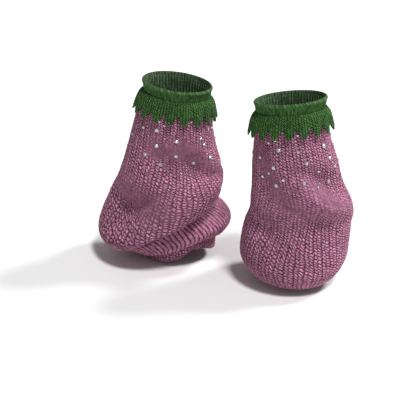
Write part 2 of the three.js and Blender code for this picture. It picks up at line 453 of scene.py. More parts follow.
def outward_normals(grid: Array) -> Array:
    """Unit normals of a grid of points with rows down and columns round.

    Args:
        grid: points, rows by columns by three.

    Returns:
        The cross product of the step round and the step up, at length one.
    """
    around = np.roll(grid, -1, axis=1) - np.roll(grid, 1, axis=1)
    upward = -np.gradient(grid, axis=0)
    normals = np.cross(around, upward)
    return normals / np.linalg.norm(normals, axis=2, keepdims=True)


def wander(angle: Array, down: Array, seed: int) -> Array:
    """A slow wavering between -1 and 1 that closes on itself round the tube.

    The sum of a few sines of whole multiples of the angle, each mixed with the length down the
    cloth and started at a random phase.

    Args:
        angle: radians round the tube.
        down: millimetres down the cloth.
        seed: picks the phases.

    Returns:
        The wavering at each place.
    """
    random = np.random.default_rng(seed)
    total = np.zeros(np.broadcast(angle, down).shape)
    waves = ((3, 0.021), (5, -0.034), (8, 0.052), (13, -0.09), (23, 0.11), (31, -0.15))
    for turns, pitch in waves:
        phase = random.uniform(0, 2 * math.pi)
        total += np.sin(turns * angle + 2 * math.pi * pitch * down / 2.4 + phase)
    return total / len(waves)


def dip(distance: Array, width: float) -> Array:
    """A notch that is 1 deep where the distance is 0: exp(-(distance / width) squared)."""
    return np.exp(-((distance / width) ** 2))


@dataclass(frozen=True)
class StockingStitch:
    """The gauge and relief of a knit whose columns of stitches look like a row of small Vs."""

    wales: int
    course: float
    slant: float
    crest: float
    gap: float
    unevenness: float
    wale_gap: float = 0.1
    wale_depth: float = 0.85
    heart_gap: float = 0.07
    heart_depth: float = 0.5
    course_gap: float = 0.2
    course_depth: float = 0.9
    ribbed_depth: float = 0.25
    lean: float = 0.3
    foot: float = 0.5
    pairing: float = 0.0
    calming: float = 0.95
    calm_height: float = 0.64

    def half_wale(self, wale: Array) -> Array:
        """How far along its arm a place is, from 0 at the foot of the V to 0.5 at the column's edge.

        The greater of the distances to the foot from the left and from the right, each over the
        width of the arm on that side, times a half.
        """
        side = wale % 1 - self.foot
        return np.maximum(side / (1 - self.foot), -side / self.foot) / 2

    def height(self, wale: Array, phase: Array, rib: Array, calm: Array) -> Array:
        """Height of the yarn, 0 to 1.

        Three notches are cut into a level of 1 and multiplied together: one between two columns of
        stitches, one down the middle of each, and one between two courses. In a rib the last one is
        shallow, and there is no middle one. The arm on the right of each stitch lies lower by the
        lean, and every second gap between columns is shallower by the pairing. Where the cloth is
        calm, the height is drawn towards an even level.

        Args:
            wale: columns of stitches counted round the cloth.
            phase: courses counted down the cloth, with the strands' slant already in them.
            rib: 0 where the stitches are plain, 1 where they are stretched into ribs.
            calm: 0 where the stitches stand out, 1 where they lie smooth.

        Returns:
            The height at each place.
        """
        half = self.half_wale(wale)
        paired = 1 - self.pairing * (1 - rib) * (0.5 - 0.5 * np.cos(math.pi * wale))
        between = 1 - dip((0.5 - half) * (1 - 0.5 * rib), self.wale_gap) * self.wale_depth * paired
        heart = 1 - dip(half, self.heart_gap) * self.heart_depth * (1 - rib)
        depth = self.course_depth * (1 - rib) + self.ribbed_depth * rib
        course = 1 - dip(0.5 - np.abs(phase % 1 - 0.5), self.course_gap) * depth
        arm = 1 - self.lean * (wale % 1 > self.foot) * (1 - rib)
        smooth = calm * self.calming
        return between * heart * course * arm * (1 - smooth) + self.calm_height * smooth

    def relief(self, wale: Array, phase: Array, rib: Array, calm: Array, seed: int) -> Array:
        """Millimetres that the yarn stands above the base surface, uneven from stitch to stitch.

        Args:
            wale: columns of stitches counted round.
            phase: courses counted down.
            rib: 0 where the stitches are plain, 1 where they are stretched into ribs.
            calm: 0 where the stitches stand out, 1 where they lie smooth.
            seed: picks which stitches stand taller.

        Returns:
            The height of the yarn in millimetres.
        """
        random = np.random.default_rng(seed)
        arms = np.floor(wale * 2).astype(int) % (2 * self.wales)
        courses = np.clip(np.floor(phase).astype(int), 0, 255)
        table = random.uniform(1 - self.unevenness, 1 + self.unevenness, (256, 2 * self.wales))
        return self.gap + (self.crest - self.gap) * self.height(wale, phase, rib, calm) * table[courses, arms]


def rounded_edge(start: Array, end: Array, outward: Array, steps: int = 3) -> Array:
    """The rows that carry a wall round its edge, from one face to the other.

    Each is the middle of the wall, plus the half thickness turned by an equal share of half a
    circle towards the outward direction.

    Args:
        start: the last row of one face.
        end: the first row of the other.
        outward: unit directions off the edge, one for each column.
        steps: how many rows there are.

    Returns:
        The rows between, steps by columns by three.
    """
    middle = (start + end) / 2
    half = (start - end) / 2
    reach = np.linalg.norm(half, axis=1, keepdims=True)
    turns = [math.pi * (n + 1) / (steps + 1) for n in range(steps)]
    return np.stack([middle + half * math.cos(t) + outward * reach * math.sin(t) for t in turns])


def unit(vectors: Array) -> Array:
    """Vectors brought to length one along the last axis."""
    return vectors / np.linalg.norm(vectors, axis=-1, keepdims=True)


@dataclass
class ClothWall:
    """A closed wall of cloth: its outer and inner grids, with the courses counted down each.

    The grids run from the top edge down and have the same columns, each at its own share of the way
    round. Rounded edges join them.
    """

    name: str
    outer: Array
    inner: Array
    outer_courses: Array
    inner_courses: Array
    share: Array
    rib: Array | None = None
    calm: Array | None = None

    def build(self, shift: Array) -> bpy.types.Object:
        """Makes the mesh, with its pattern map, its bake map and its masks.

        The four strips of rows close on themselves in both directions, so that every face is a
        square of four neighbouring points and no edge is open.

        Args:
            shift: where the leg's top rim is, in millimetres.

        Returns:
            The cloth as an object at the origin.
        """
        hem = rounded_edge(self.outer[-1], self.inner[-1], unit(self.outer[-1] - self.outer[-2]))
        top = rounded_edge(self.inner[0], self.outer[0], unit(self.outer[0] - self.outer[1]))
        points = np.concatenate([self.outer, hem, self.inner[::-1], top]) + shift
        edge_rows = len(hem)
        courses = np.concatenate([
            self.outer_courses, np.repeat(self.outer_courses[-1:], edge_rows, axis=0),
            self.inner_courses[::-1], np.repeat(self.outer_courses[:1], edge_rows, axis=0)])
        inside = np.concatenate([
            np.zeros(len(self.outer)), np.full(edge_rows, 0.5), np.ones(len(self.inner)),
            np.full(edge_rows, 0.5)])
        mesh = self.square_mesh(points)
        self.lay_maps(mesh, points, courses)
        masks = {INSIDE_MASK: np.repeat(inside[:, None], points.shape[1], axis=1)}
        for name, values in ((RIB_MASK, self.rib), (CALM_MASK, self.calm)):
            masks[name] = np.zeros(points.shape[:2])
            if values is not None:
                masks[name][:len(self.outer)] = values
        for name, values in masks.items():
            layer = mesh.attributes.new(name, "FLOAT", "POINT")
            layer.data.foreach_set("value", values.astype(np.float32).ravel())
        cloth = bpy.data.objects.new(self.name, mesh)
        bpy.context.scene.collection.objects.link(cloth)
        return cloth

    def square_mesh(self, points: Array) -> bpy.types.Mesh:
        """Joins a grid that closes in both directions into squares, smooth shaded."""
        rows, columns = points.shape[:2]
        here = np.arange(rows * columns).reshape(rows, columns)
        below = np.roll(here, -1, axis=0)
        faces = np.stack([here, below, np.roll(below, -1, axis=1), np.roll(here, -1, axis=1)], axis=2)
        mesh = bpy.data.meshes.new(self.name)
        mesh.from_pydata(points.reshape(-1, 3) * MM, [], faces.reshape(-1, 4))
        mesh.polygons.foreach_set("use_smooth", np.ones(rows * columns, bool))
        mesh.update()
        return mesh

    def lay_maps(self, mesh: bpy.types.Mesh, points: Array, courses: Array) -> None:
        """Lays the pattern map, round by courses down, and the bake map, round by length of wall.

        Args:
            mesh: the squares that square_mesh made.
            points: the grid that they join.
            courses: the courses counted down to each point.
        """
        rows, columns = points.shape[:2]
        left = np.repeat(self.share[None, :], rows, axis=0)
        right = np.repeat(np.append(self.share[1:], 1.0)[None, :], rows, axis=0)
        across = np.stack([left, left, right, right], axis=2)
        below = np.roll(courses, -1, axis=0)
        counts = np.stack([courses, below, np.roll(below, -1, axis=1), np.roll(courses, -1, axis=1)], axis=2)
        step = np.linalg.norm(np.roll(points, -1, axis=0) - points, axis=2).mean(axis=1)
        ends = np.concatenate([[0.0], np.cumsum(step)]) / step.sum()
        upper = np.repeat(ends[:-1, None], columns, axis=1)
        lower = np.repeat(ends[1:, None], columns, axis=1)
        along = np.stack([upper, lower, lower, upper], axis=2)
        for name, v in ((CLOTH_MAP, counts / COURSE_SPAN), (BAKE_MAP, along)):
            layer = mesh.uv_layers.new(name=name)
            layer.uv.foreach_set("vector", np.stack([across, v], axis=3).astype(np.float32).ravel())
        mesh.uv_layers.active = mesh.uv_layers[CLOTH_MAP]


def settle(piece: bpy.types.Object, node: str, finish: bpy.types.Material) -> None:
    """Gives a piece its finish and makes it stand for a solid of the part.

    Args:
        piece: the finished piece.
        node: the solid that it replaces, or an empty word.
        finish: the piece's material.
    """
    piece.data.materials.append(finish)
    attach(piece, "root")
    if node:
        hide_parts(node)
    LOG.info("%s: %d faces", piece.name, len(piece.data.polygons))


class Value:
    """A number that varies over a surface: one socket, with Python's own operators on it."""

    def __init__(self, board: "NodeBoard", socket: bpy.types.NodeSocket) -> None:
        """Keeps the socket and the board that its Math nodes are added to."""
        self.board = board
        self.socket = socket

    def __add__(self, other: "Value | float") -> "Value":
        """The sum."""
        return self.board.math("ADD", self, other)

    def __radd__(self, other: float) -> "Value":
        """The sum, with the number first."""
        return self.board.math("ADD", other, self)

    def __sub__(self, other: "Value | float") -> "Value":
        """The difference."""
        return self.board.math("SUBTRACT", self, other)

    def __rsub__(self, other: float) -> "Value":
        """A number less this."""
        return self.board.math("SUBTRACT", other, self)

    def __mul__(self, other: "Value | float") -> "Value":
        """The product."""
        return self.board.math("MULTIPLY", self, other)

    def __rmul__(self, other: float) -> "Value":
        """The product, with the number first."""
        return self.board.math("MULTIPLY", other, self)

    def __pow__(self, other: float) -> "Value":
        """The power."""
        return self.board.math("POWER", self, other)

    def __abs__(self) -> "Value":
        """The size without its sign."""
        return self.board.math("ABSOLUTE", self)

    def sine(self) -> "Value":
        """The sine of an angle in radians."""
        return self.board.math("SINE", self)

    def cosine(self) -> "Value":
        """The cosine of an angle in radians."""
        return self.board.math("COSINE", self)

    def fraction(self) -> "Value":
        """What is left over the whole number below."""
        return self.board.math("FRACT", self)

    def whole(self) -> "Value":
        """The whole number below."""
        return self.board.math("FLOOR", self)

    def dip(self, width: float) -> "Value":
        """A notch that is 1 deep where this is 0: exp(-(this / width) squared)."""
        share = self * (1 / width)
        return self.board.math("EXPONENT", share * share * -1.0)

    def eased(self, low: float, high: float) -> "Value":
        """0 below low, 1 above high, and a smooth step between."""
        settings = {"data_type": "FLOAT", "interpolation_type": "SMOOTHSTEP"}
        node = self.board.add("ShaderNodeMapRange", settings, {0: self, 1: low, 2: high, 3: 0.0, 4: 1.0})
        return Value(self.board, node.outputs[0])


class NodeBoard:
    """One material's node tree, with the few ways in which this script adds nodes to it."""

    def __init__(self, name: str) -> None:
        """Starts an empty material.

        Args:
            name: the material's name.
        """
        self.material = bpy.data.materials.new(name)
        self.material.use_nodes = True
        self.tree = self.material.node_tree
        self.tree.nodes.clear()

    def add(self, kind: str, settings: dict, inputs: dict) -> bpy.types.Node:
        """Adds a node.

        Args:
            kind: the node's type.
            settings: its own settings by name; stops are a ramp's places and colours.
            inputs: values, Values or sockets, by the input's name or number.

        Returns:
            The node.
        """
        node = self.tree.nodes.new(kind)
        for name, value in settings.items():
            if name == "stops":
                self.set_stops(node.color_ramp, value)
            else:
                setattr(node, name, value)
        for key, value in inputs.items():
            source = value.socket if isinstance(value, Value) else value
            if isinstance(source, bpy.types.NodeSocket):
                self.tree.links.new(source, node.inputs[key])
            else:
                node.inputs[key].default_value = source
        return node

    @staticmethod
    def set_stops(ramp: bpy.types.ColorRamp, stops: list) -> None:
        """Sets a ramp's stops from pairs of a place and a colour."""
        while len(ramp.elements) < len(stops):
            ramp.elements.new(1.0)
        for element, (place, colour) in zip(ramp.elements, stops):
            element.position = place
            element.color = colour

    def math(self, operation: str, *values: Value | float) -> Value:
        """One Math node on one or two values."""
        node = self.add("ShaderNodeMath", {"operation": operation}, dict(enumerate(values)))
        return Value(self, node.outputs[0])

    def mixed(self, share: Value | float, first: object, second: object, blend: str = "MIX") -> object:
        """A colour between two others.

        Args:
            share: 0 for the first colour, 1 for the second.
            first: a colour or a colour socket.
            second: the same.
            blend: how the second colour is laid on the first.

        Returns:
            The colour socket.
        """
        settings = {"data_type": "RGBA", "blend_type": blend}
        node = self.add("ShaderNodeMix", settings, {0: share, 6: first, 7: second})
        return node.outputs[2]

    def noise(self, scale: float, detail: float, roughness: float = 0.5) -> Value:
        """Smooth noise over the piece's own coordinates, in metres.

        Args:
            scale: how many lumps there are to a metre.
            detail: how many finer layers it has.
            roughness: how strong they are.

        Returns:
            The noise, about 0.5.
        """
        place = self.add("ShaderNodeTexCoord", {}, {}).outputs["Object"]
        node = self.add("ShaderNodeTexNoise", {"noise_dimensions": "3D"},
                        {"Vector": place, "Scale": scale, "Detail": detail, "Roughness": roughness})
        return Value(self, node.outputs[0])

    def mask(self, name: str) -> Value:
        """A mask that a mesh carries."""
        node = self.add("ShaderNodeAttribute", {"attribute_name": name, "attribute_type": "GEOMETRY"}, {})
        return Value(self, node.outputs["Fac"])

    def cloth_place(self) -> tuple[Value, Value]:
        """The share of the way round, and the courses counted down."""
        cloth = self.add("ShaderNodeUVMap", {"uv_map": CLOTH_MAP}, {})
        split = self.add("ShaderNodeSeparateXYZ", {}, {0: cloth.outputs[0]})
        return Value(self, split.outputs[0]), Value(self, split.outputs[1]) * COURSE_SPAN

    def by_chance(self, first: Value, second: Value) -> Value:
        """A random number from 0 to 1 for each pair of whole numbers."""
        pair = self.add("ShaderNodeCombineXYZ", {}, {0: first, 1: second})
        node = self.add("ShaderNodeTexWhiteNoise", {"noise_dimensions": "2D"}, {"Vector": pair.outputs[0]})
        return Value(self, node.outputs[0])

    def finish(self, shader: bpy.types.Node) -> bpy.types.Material:
        """Joins the shader to the output and hands the material over."""
        self.add("ShaderNodeOutputMaterial", {}, {"Surface": shader.outputs[0]})
        return self.material


def paint(red: int, green: int, blue: int) -> tuple[float, float, float, float]:
    """A colour given as a screen's 0 to 255, in the renderer's own scale.

    Args:
        red: the red part.
        green: the green part.
        blue: the blue part.

    Returns:
        The colour with full alpha.
    """
    def linear(part: int) -> float:
        """One part on the renderer's scale."""
        share = part / 255
        return share / 12.92 if share <= 0.04045 else ((share + 0.055) / 1.055) ** 2.4

    return linear(red), linear(green), linear(blue), 1.0


@dataclass(frozen=True)
class YarnFinish:
    """A matt yarn: the painted shade between its strands, its sides, the painted highlight on its crests, and
    its fuzz.
    """

    name: str
    # gap is a painted shade for the dark between the strands, side the strand's mid tone, crest a painted
    # highlight on their tops.
    gap: tuple[float, float, float, float]
    side: tuple[float, float, float, float]
    crest: tuple[float, float, float, float]
    chance: float
    sheen: float
    bump: float
    # Painted light over the rib mask, added to the brightness: below 0 a painted shade over the pink tube's
    # ribbed roll under the bulge, above 0 a painted highlight along the band's rolled rim.
    rib_mask_painted_light: float = 0.0
    inside_share: float = 0.0
    inside: tuple[float, float, float, float] = (0.13, 0.2, 0.12, 1.0)
    # Heights over which the painted gap shade gives way to the yarn, and the yarn to its painted crest
    # highlight.
    painted_gap_shade_heights: tuple[float, float] = (0.12, 0.64)
    painted_crest_highlight_heights: tuple[float, float] = (0.5, 0.95)

    def material(self, board: NodeBoard, height: Value, seed: Value) -> bpy.types.Material:
        """Dresses a height pattern as yarn.

        From the dark gap colour, a painted shade between the strands, the colour goes by the yarn's height
        over the side of the strand to the lighter crest colour, a painted highlight on its top. Soft mottling
        and fibres vary it, and each stitch is a little lighter or darker by chance.

        Args:
            board: the material's board.
            height: the yarn's height, 0 to 1.
            seed: a random number for each stitch.

        Returns:
            The material.
        """
        mottle = board.noise(38.0, 2.0).eased(0.3, 0.7)
        fibre = board.noise(800.0, 2.0, 0.65)
        fluff = fibre.eased(0.3, 0.7)
        # Painted highlight: the higher the yarn, the more of the lighter crest colour, varied by mottle and
        # fibre.
        mottled_highlight_share = height.eased(*self.painted_crest_highlight_heights) * (0.35 + mottle * 0.2 + fluff * 0.45)
        yarn = board.mixed(mottled_highlight_share, self.side, self.crest)
        if self.inside_share:
            yarn = board.mixed(board.mask(INSIDE_MASK) * self.inside_share, yarn, self.inside)
        # Random tone stitch by stitch, plus the painted shade or painted highlight over the rib mask.
        random_tone_and_painted_light = 1 - self.chance + seed * (2 * self.chance) + board.mask(RIB_MASK) * self.rib_mask_painted_light
        grey = board.add("ShaderNodeCombineXYZ", {}, {0: random_tone_and_painted_light, 1: random_tone_and_painted_light, 2: random_tone_and_painted_light})
        yarn = board.mixed(1.0, yarn, grey.outputs[0], "MULTIPLY")
        # Painted shade: the lower the yarn, the more of the dark gap colour.
        colour = board.mixed(height.eased(*self.painted_gap_shade_heights), self.gap, yarn)
        bump = board.add("ShaderNodeBump", {}, {
            "Strength": self.bump, "Distance": 0.0008, "Height": height * 0.7 + fibre * 0.3})
        shader = board.add("ShaderNodeBsdfPrincipled", {}, {
            "Base Color": colour, "Roughness": 0.75 + fibre * 0.2, "Normal": bump.outputs[0],
            "Sheen Weight": self.sheen, "Sheen Roughness": 0.5, "Sheen Tint": self.crest,
            "Specular IOR Level": 0.2})
        return board.finish(shader)


KNIT_STITCH = StockingStitch(
    wales=74, course=3.4, slant=0.68, crest=0.6, gap=-0.3, unevenness=0.3,
    wale_gap=0.08, wale_depth=0.7, heart_gap=0.07, heart_depth=0.1, course_gap=0.17, course_depth=0.95,
    foot=0.66, pairing=0.75)
FRILL_STITCH = StockingStitch(
    wales=90, course=2.9, slant=0.9, crest=0.5, gap=-0.25, unevenness=0.4,
    wale_gap=0.1, wale_depth=0.35, heart_gap=0.06, heart_depth=0.2, course_gap=0.2, course_depth=0.95,
    lean=0.35, foot=0.62)
BAND_STITCH = StockingStitch(
    wales=60, course=4.5, slant=0.8, crest=0.3, gap=0.0, unevenness=0.3,
    wale_gap=0.17, wale_depth=0.95, heart_gap=0.08, heart_depth=0.7, course_gap=0.16, course_depth=0.4,
    ribbed_depth=0.1)

# Each yarn's gap colour is a painted shade between the strands and its crest colour a painted highlight on
# their tops. The pink's negative rib mask light is a painted shade over its ribbed roll, and the green rib's
# positive one is a painted highlight on the band's rim.
PINK_YARN = YarnFinish(
    name="pink_knit", gap=paint(44, 26, 34), side=paint(112, 71, 89), crest=paint(208, 140, 169),
    chance=0.28, sheen=0.05, bump=0.8, rib_mask_painted_light=-0.12)
GREEN_YARN = YarnFinish(
    name="green_knit", gap=paint(9, 20, 7), side=paint(38, 69, 29), crest=paint(80, 130, 62),
    chance=0.4, sheen=0.03, bump=0.7)
GREEN_RIB = YarnFinish(
    name="green_rib", gap=paint(11, 26, 10), side=paint(42, 74, 33), crest=paint(84, 132, 66),
    chance=0.4, sheen=0.03, bump=0.7, rib_mask_painted_light=0.3, inside_share=0.6)


def stitch_nodes(board: NodeBoard, stitch: StockingStitch, inside_out: bool = False) -> tuple[Value, Value]:
    """The same stitch as the mesh's relief, as nodes.

    Args:
        board: the material's board.
        stitch: the gauge.
        inside_out: whether the inner face's ridges are where the outer face has its grooves.

    Returns:
        The height of the yarn, 0 to 1, and a random number for each stitch.
    """
    round_it, courses = board.cloth_place()
    wobble = board.noise(230.0, 2.0) - 0.5
    wale = round_it * stitch.wales + wobble * 0.35
    courses = courses + wobble * 0.8
    if inside_out:
        wale = wale + board.mask(INSIDE_MASK) * 0.5
    side = wale.fraction() - stitch.foot
    half = board.math("MAXIMUM", side * (0.5 / (1 - stitch.foot)), side * (-0.5 / stitch.foot))
    phase = courses + half * (2 * stitch.slant)
    rib = board.mask(RIB_MASK)
    smooth = board.mask(CALM_MASK) * stitch.calming
    unpaired = (0.5 - (wale * math.pi).cosine() * 0.5) * stitch.pairing
    paired = 1 - unpaired * (1 - rib)
    widened = (0.5 - half) * (1 - rib * 0.5)
    between = 1 - widened.dip(stitch.wale_gap) * stitch.wale_depth * paired
    arm = 1 - board.math("GREATER_THAN", side, 0.0) * stitch.lean * (1 - rib)
    heart = 1 - half.dip(stitch.heart_gap) * stitch.heart_depth * (1 - rib)
    depth = stitch.course_depth - rib * (stitch.course_depth - stitch.ribbed_depth)
    course = 1 - (0.5 - abs(phase.fraction() - 0.5)).dip(stitch.course_gap) * depth
    height = between * heart * course * arm * (1 - smooth) + smooth * stitch.calm_height
    return height, board.by_chance((wale * 2).whole(), phase.whole())


WALE_SAMPLES = np.array([0.0, 0.33, 0.66, 0.83])
COURSE_SAMPLES = np.array([0.0, 0.25, 0.65])


def counted(count: int, samples: Array) -> Array:
    """The places of a repeat's samples through a number of repeats, without the last end."""
    return (np.arange(count)[:, None] + samples[None, :]).ravel()


@dataclass
class KnitTube:
    """The pink tube of one leg warmer, stitch by stitch, over a plain inside."""

    shape: LegShape
    stitch: StockingStitch = KNIT_STITCH
    inner_rows: int = 26
    wander_round: float = 0.3
    wander_down: float = 1.0

    def surface(self) -> RingedSurface:
        """The tube's base surface with its large folds and its creases."""
        return RingedSurface(self.shape.knit, self.shape.big_folds + self.shape.creases)

    def rib_share(self, row: Array) -> Array:
        """1 on the rows that are stretched into ribs, easing to 0 above and below them."""
        start, full, fading, end = self.shape.ribbed_rows
        rising = np.clip((row - start) / (full - start), 0, 1)
        falling = np.clip((end - row) / (end - fading), 0, 1)
        share = rising * falling
        return share * share * (3 - 2 * share)

    def calm_share(self, angle: Array, row: Array) -> Array:
        """1 where the cloth lies smooth, by the calm patches, which are shaped as folds are."""
        share, _ = RingedSurface(self.shape.knit, self.shape.calm).push_and_lift(angle, row)
        return np.clip(share, 0, 1)

    def wall(self) -> ClothWall:
        """Works out both faces of the tube.

        A row of the outer grid follows the slant of the strands: its length down is the course's
        number less the slant times the place across the wale, times the course's height. Each point
        then stands off the base surface by the relief of the stitch.
        """
        surface = self.surface()
        ruler = ClothRuler(surface)
        courses = round(ruler.length / self.stitch.course)
        course = ruler.length / courses
        wale = counted(self.stitch.wales, WALE_SAMPLES)[None, :]
        level = np.append(counted(courses, COURSE_SAMPLES), courses)[:, None]
        ends = np.clip(np.minimum(level, courses - level) / 1.5, 0, 1)
        slant = 2 * self.stitch.slant * self.stitch.half_wale(wale) * ends
        down = (level - slant) * course
        angle = 2 * math.pi * wale / self.stitch.wales + np.zeros_like(down)
        seed = 11 + len(self.shape.knit)
        moved = down + self.wander_down * ends * wander(angle, down, seed) * self.stitch.course
        turned = angle + self.wander_round * wander(angle, down, seed + 1) * 2 * math.pi / self.stitch.wales
        row = ruler.row_at(np.clip(moved, 0, ruler.length))
        base = surface.points(turned, row)
        rib = self.rib_share(row)
        calm = self.calm_share(turned, row)
        wales = wale + np.zeros_like(down)
        height = self.stitch.relief(wales, level + np.zeros_like(down), rib, calm, seed + 2)
        edge = np.clip(ends * 1.5, 0, 1)
        outer = base + outward_normals(base) * (height * edge)[..., None]
        inner_down = np.linspace(0, ruler.length, self.inner_rows + 1)[:, None] + np.zeros_like(wale)
        inner_angle = angle[:1] + np.zeros_like(inner_down)
        inside = surface.points(inner_angle, ruler.row_at(inner_down))
        inner = inside - outward_normals(inside) * KNIT_WALL
        self.cut = ruler.cut()
        return ClothWall(f"{self.shape.side.label}_knit_cloth", outer, inner, down / course,
                         inner_down / course, wale[0] / self.stitch.wales, rib, calm)

    def build(self, finish: bpy.types.Material) -> bpy.types.Object:
        cloth = self.wall().build(self.shape.side.shift)
        settle(cloth, f"{self.shape.side.label}_knit_tube", finish)
        return cloth


@dataclass
class TopBand:
    """The green ribbed band that grips the calf, with its rolled top edge."""

    shape: LegShape
    samples_per_rib: int = 8
    stitch: StockingStitch = BAND_STITCH
    edge_roll: float = 0.9
    edge_height: float = 2.6
    outer_calm: float = 0.9

    def wall(self) -> ClothWall:
        """Works out both faces of the band, ribbed in step so that the wall keeps its thickness.

        The wave of the ribs is the cosine of as many turns as there are ribs, times half the rib's
        height. On each face the ridges carry small stitches. Near the rim the ribs fade into a
        rounded roll.
        """
        surface = RingedSurface(self.shape.band)
        ruler = ClothRuler(surface)
        columns = BAND_RIBS * self.samples_per_rib
        rows = round(ruler.length / self.stitch.course * 5)
        down = np.linspace(0, ruler.length, rows + 1)[:, None] + np.zeros((1, columns))
        rib_number = np.arange(columns)[None, :] / self.samples_per_rib + np.zeros_like(down)
        angle = 2 * math.pi * rib_number / BAND_RIBS
        base = surface.points(angle, ruler.row_at(down))
        normals = outward_normals(base)
        ribbed = np.clip((down - 2.4) / 3, 0, 1)
        wave = np.cos(BAND_RIBS * angle) * RIB_HEIGHT / 2 * ribbed
        roll = self.edge_roll * dip(down - self.edge_height / 2, self.edge_height / 2)
        plain = np.zeros_like(down)
        faces = []
        for shift, seed in ((0.5, 41), (0.0, 42)):
            wale = rib_number + shift
            phase = down / self.stitch.course + 2 * self.stitch.slant * self.stitch.half_wale(wale)
            faces.append(self.stitch.relief(wale, phase, plain, plain, seed) * ribbed)
        outer = base + normals * (wave + faces[0] + roll)[..., None]
        inner = base + normals * (wave - BAND_WALL - faces[1] - roll * 0.3)[..., None]
        self.cut = ruler.cut()
        courses = down / self.stitch.course
        share = rib_number[0] / BAND_RIBS
        edge = dip(down, self.edge_height * 0.8)
        calm = np.full_like(down, self.outer_calm)
        name = f"{self.shape.side.label}_band_cloth"
        return ClothWall(name, outer, inner, courses, courses, share, edge, calm)

    def build(self, finish: bpy.types.Material) -> bpy.types.Object:
        cloth = self.wall().build(self.shape.side.shift)
        settle(cloth, f"{self.shape.side.label}_top_band", finish)
        return cloth


@dataclass
class LeafFrill:
    """The green frill of leaf points that hangs over the top seam."""

    shape: LegShape
    stitch: StockingStitch = FRILL_STITCH
    flute: float = 0.9
    inner_rows: int = 10
    root_wall: float = 0.4
    root_length: float = 4.5
    wander_down: float = 1.2

    def wall(self) -> ClothWall:
        """Works out both faces of the frill.

        Each column ends on the outline of its leaf point: the share of the frill's length that it
        keeps is one less the cut times the distance from the tip to the power of the rounding.
        """
        surface = RingedSurface(self.shape.frill)
        ruler = ClothRuler(surface)
        wale = counted(self.stitch.wales, WALE_SAMPLES)[None, :]
        angle = 2 * math.pi * wale / self.stitch.wales
        from_tip = np.abs(2 * ((angle * LEAF_POINTS / (2 * math.pi)) % 1) - 1)
        tip, root = self.shape.frill[-1].drop, self.shape.frill[0].drop
        kept = 1 - POINT_CUT * from_tip**POINT_ROUNDING / (tip - root)
        rows = round(ruler.length / self.stitch.course * 5)

        def face(steps: int) -> tuple[Array, Array]:
            """One face's base points and lengths down, fluted with the leaf points."""
            share = np.linspace(0, 1, steps + 1)[:, None]
            row = share * kept * surface.last_row
            level = angle + np.zeros_like(row)
            down = np.interp(row, ruler.rows, ruler.down)
            grid = surface.points(level, row)
            bulge = self.flute * np.cos(math.pi * from_tip) * share**1.5
            return grid + outward_normals(grid) * bulge[..., None], down

        base, down = face(rows)
        inside, inner_down = face(self.inner_rows)
        seed = 31 + len(self.shape.knit)
        courses = down / self.stitch.course + self.wander_down * wander(angle, down, seed + 1)
        phase = courses + 2 * self.stitch.slant * self.stitch.half_wale(wale)
        plain = np.zeros_like(down)
        height = self.stitch.relief(wale + plain, phase, plain, plain, seed)
        rim = np.clip(np.minimum(np.arange(rows + 1), rows - np.arange(rows + 1)) / 3, 0, 1)[:, None]
        thinned = (FRILL_WALL - self.root_wall) * dip(down, self.root_length)
        outer = base + outward_normals(base) * (height * rim - thinned)[..., None]
        inner = inside - outward_normals(inside) * FRILL_WALL
        self.cut = ruler.cut()
        return ClothWall(f"{self.shape.side.label}_frill_cloth", outer, inner, courses,
                         inner_down / self.stitch.course, wale[0] / self.stitch.wales)

    def build(self, finish: bpy.types.Material) -> bpy.types.Object:
        cloth = self.wall().build(self.shape.side.shift)
        settle(cloth, f"{self.shape.side.label}_leaf_frill", finish)
        return cloth


